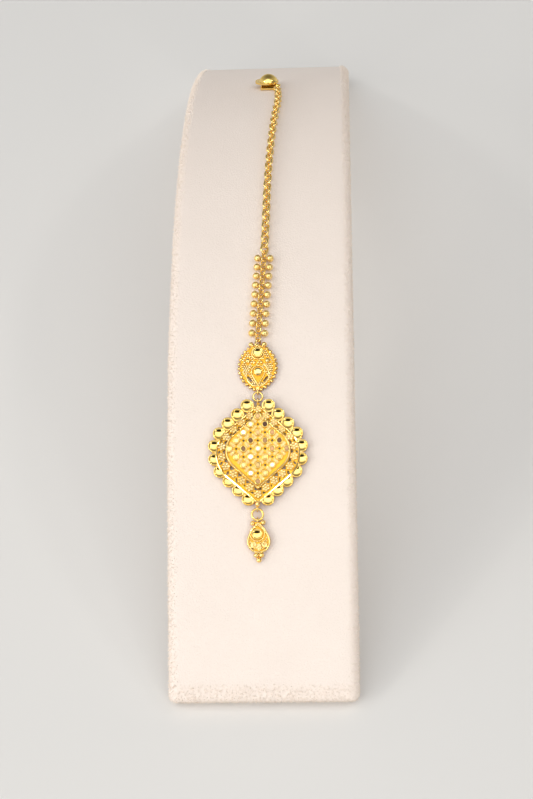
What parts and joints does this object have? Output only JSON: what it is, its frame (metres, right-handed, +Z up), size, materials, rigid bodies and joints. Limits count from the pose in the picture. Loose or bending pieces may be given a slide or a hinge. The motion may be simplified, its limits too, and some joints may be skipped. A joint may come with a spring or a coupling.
{
  "type": "maang tikka on a padded velvet display ramp",
  "caption": "Forehead ornament with a hair hook, link chain, ball rows, medallion, studded lozenge pendant and drop, lying on an arched velvet ramp.",
  "frame": {"origin": "on the table, under the middle of the ramp", "axes": "+Z up, X across the ramp, Y along it, with the drop and the front foot towards -Y and the hair hook over the crest towards +Y"},
  "size_m": [0.045, 0.247, 0.0639],
  "materials": {
    "velvet": "cream velvet with a short nap, over thin padding on board",
    "gold": "polished high-carat yellow gold with granulated and matt grounds"
  },
  "bodies": {
    "root": {"display_ramp": "velvet", "hair_hook": "gold", "link_chain": "gold", "row_links": "gold", "ball_row_1": "gold", "ball_row_2": "gold", "ball_row_3": "gold", "ball_row_4": "gold", "ball_row_5": "gold", "ball_row_6": "gold", "ball_row_7": "gold", "ball_row_8": "gold", "ball_row_9": "gold", "medallion_ring": "gold", "medallion": "gold", "pendant_ring": "gold", "pendant": "gold", "drop": "gold"}
  },
  "joints": []
}
